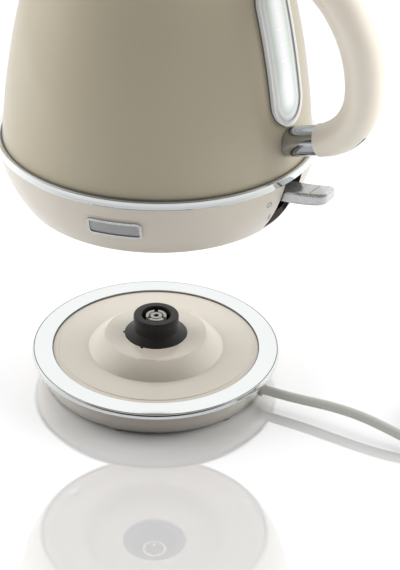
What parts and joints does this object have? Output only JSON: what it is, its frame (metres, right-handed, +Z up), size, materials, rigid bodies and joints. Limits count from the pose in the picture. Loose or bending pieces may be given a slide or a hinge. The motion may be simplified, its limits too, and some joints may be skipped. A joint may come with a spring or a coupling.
{
  "type": "electric kettle",
  "caption": "Cordless electric kettle with chrome rings, water gauge and C-shaped handle, lifted off a round power base with a connector and coiled mains cord.",
  "frame": {"origin": "on the common axis of the kettle and its base, at table level under the feet", "axes": "+Z up along the axis, +X towards the handle, -X towards the spout"},
  "size_m": [0.3379, 0.2552, 0.359],
  "materials": {
    "beige_plastic": "satin, warm beige",
    "body_paint": "glossy beige-taupe paint",
    "chrome": "mirror",
    "black_plastic": "fine matt",
    "cover_plastic": "matt beige",
    "contact_plastic": "pale grey",
    "steel": "brushed",
    "aluminium": "cast",
    "brass": "bright",
    "rubber": "matt",
    "seal_rubber": "pale silicone",
    "gasket_rubber": "dark",
    "cord_plastic": "soft light grey",
    "tie_plastic": "soft",
    "wire_plastic": "insulated cores",
    "gauge_frame": "silver",
    "gauge_glass": "clear, faintly milky",
    "silver_plastic": "silver",
    "badge_metal": "bare plate"
  },
  "bodies": {
    "power_base": {"base_pan": "beige_plastic", "base_deck": "beige_plastic", "base_ring": "chrome", "base_feet": "rubber", "base_screws": "steel", "connector_tower": "black_plastic", "connector_insert": "contact_plastic", "connector_sleeves": "brass", "connector_screws": "steel", "cord_grommet": "cord_plastic", "cord_clamp": "cord_plastic", "clamp_screws": "steel", "lead_wires": "wire_plastic", "mains_cord": "cord_plastic", "cord_coil": "cord_plastic", "coil_tie": "tie_plastic", "plug_body": "cord_plastic", "plug_pins": "brass", "plug_earth_strips": "brass"},
    "kettle": {"body_shell": "body_paint", "spout": "body_paint", "spout_filter": "steel", "trim_ring": "chrome", "lower_collar": "beige_plastic", "bottom_cover": "cover_plastic", "bottom_screws": "steel", "heating_plate": "steel", "plate_seal": "seal_rubber", "heat_spreader": "aluminium", "heating_element": "steel", "control_housing": "black_plastic", "kettle_socket": "black_plastic", "socket_contacts": "brass", "bimetal_disc": "steel", "steam_tube": "steel", "mouth_ring": "chrome", "hinge_bracket": "chrome", "hinge_pin": "steel", "handle": "beige_plastic", "handle_cap": "beige_plastic", "handle_ferrules": "chrome", "handle_studs": "steel", "gauge_gasket": "gasket_rubber", "gauge_bezel": "gauge_frame", "gauge_window": "gauge_glass", "badge_plate": "badge_metal", "badge_rim": "silver_plastic", "switch_bracket": "black_plastic", "switch_pin": "steel"},
    "lid": {"lid_dome": "body_paint", "lid_liner": "steel", "lid_seal": "seal_rubber", "knob_collar": "chrome", "lid_knob": "beige_plastic", "knob_screw": "steel", "hinge_arm": "chrome"},
    "switch": {"switch_lever": "silver_plastic"}
  },
  "joints": [
    {"name": "kettle_lift", "type": "slide", "parent": "power_base", "child": "kettle", "axis": [0, 0, 1], "range_m": [-0.1058, 0]},
    {"name": "lid_hinge", "type": "hinge", "parent": "kettle", "child": "lid", "pos_m": [0.0594, 0, 0.3086], "axis": [0, 1, 0], "range_deg": [0, 86]},
    {"name": "power_switch", "type": "hinge", "parent": "kettle", "child": "switch", "pos_m": [0.079, 0, 0.1478], "axis": [0, 1, 0], "range_deg": [0, 12]}
  ]
}
